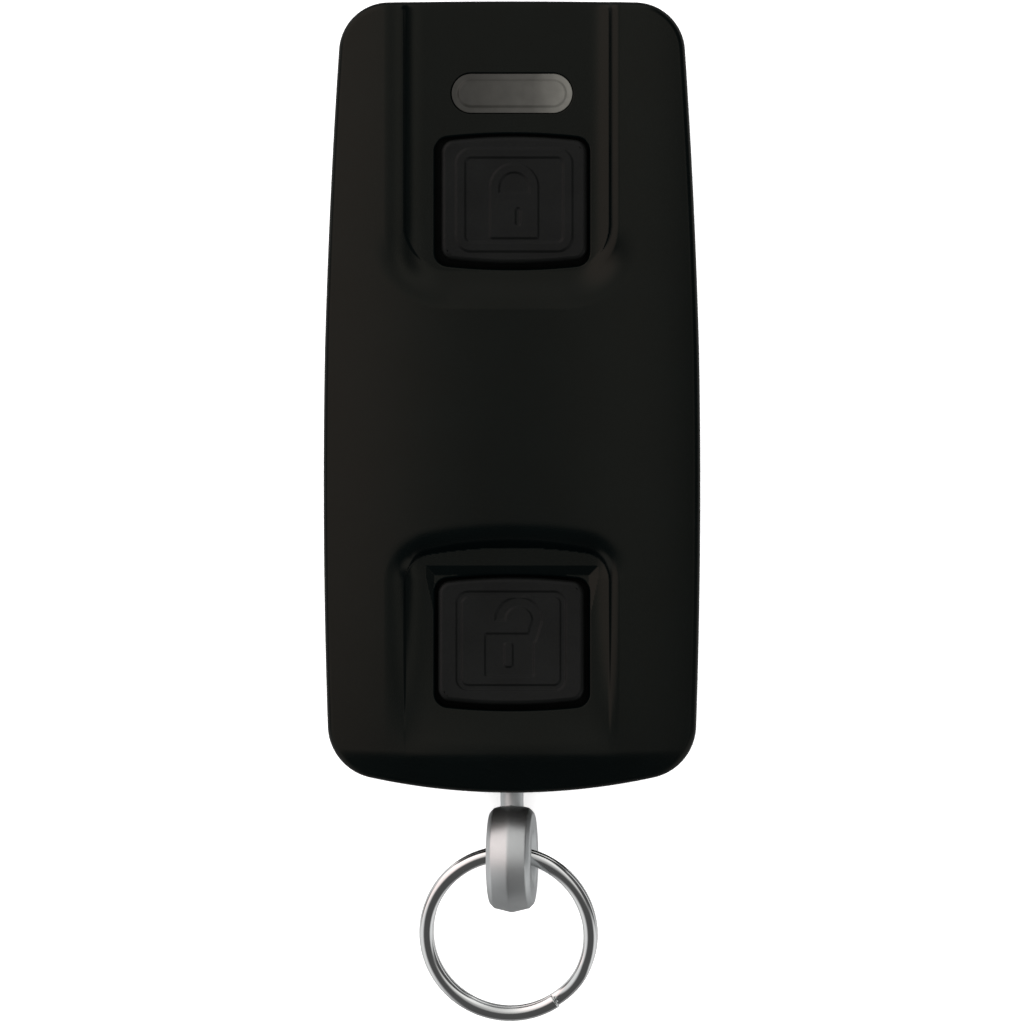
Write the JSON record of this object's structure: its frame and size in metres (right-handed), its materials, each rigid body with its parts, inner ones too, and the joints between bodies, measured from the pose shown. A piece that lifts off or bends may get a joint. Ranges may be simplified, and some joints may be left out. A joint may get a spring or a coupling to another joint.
{
  "type": "smart lock remote",
  "caption": "Slim crowned key fob remote with two square push buttons in scooped recesses, a small window, and a split key ring on a swivel eye.",
  "frame": {"origin": "centre of the flat rear face, on which the remote lies", "axes": "+X to the remote's right seen from the front, +Y towards its top end, away from the key ring, +Z out of the front face"},
  "size_m": [0.0342, 0.0931, 0.0124],
  "materials": {
    "housing_black": "satin gloss black moulding",
    "button_black": "fine-grained matte black",
    "window_grey": "smoke-grey translucent",
    "satin_nickel": "satin nickel",
    "bright_nickel": "polished nickel",
    "board_green": "solder mask",
    "chip_black": "moulded epoxy",
    "tinned_steel": "tinned sheet",
    "screw_zinc": "zinc plated",
    "ceramic_white": "glazed ceramic",
    "clear_plastic": "clear moulding",
    "plunger_white": "plain moulding"
  },
  "bodies": {
    "housing": {"front_cover": "housing_black", "rear_cover": "housing_black", "indicator_window": "window_grey", "circuit_board": "board_green", "light_guide": "clear_plastic", "indicator_light": "clear_plastic", "radio_chip": "chip_black", "crystal": "tinned_steel", "chip_antenna": "ceramic_white", "chip_components": "chip_black", "coin_cell": "tinned_steel", "battery_clip": "tinned_steel", "battery_contact": "tinned_steel", "case_screws": "screw_zinc", "lock_switch_body": "chip_black", "lock_switch_cover": "tinned_steel", "unlock_switch_body": "chip_black", "unlock_switch_cover": "tinned_steel"},
    "lock_key": {"lock_button": "button_black", "lock_switch_plunger": "plunger_white"},
    "unlock_key": {"unlock_button": "button_black", "unlock_switch_plunger": "plunger_white"},
    "swivel": {"swivel_post": "satin_nickel", "swivel_eye": "satin_nickel"},
    "ring": {"key_ring": "bright_nickel"}
  },
  "joints": [
    {"name": "lock_press", "type": "slide", "parent": "housing", "child": "lock_key", "axis": [0, 0, -1], "range_m": [0, 0.0003], "stiffness_N_per_m": 600, "springref_m": -0.001},
    {"name": "unlock_press", "type": "slide", "parent": "housing", "child": "unlock_key", "axis": [0, 0, -1], "range_m": [0, 0.0003], "stiffness_N_per_m": 600, "springref_m": -0.001},
    {"name": "swivel_turn", "type": "hinge", "parent": "housing", "child": "swivel", "pos_m": [0, -0.036, 0.0052], "axis": [0, 1, 0], "continuous": true},
    {"name": "ring_swing", "type": "hinge", "parent": "swivel", "child": "ring", "pos_m": [-0.00048, -0.04161, 0.0051], "axis": [0.9954, 0, 0.0958], "range_deg": [-112, 87]}
  ]
}
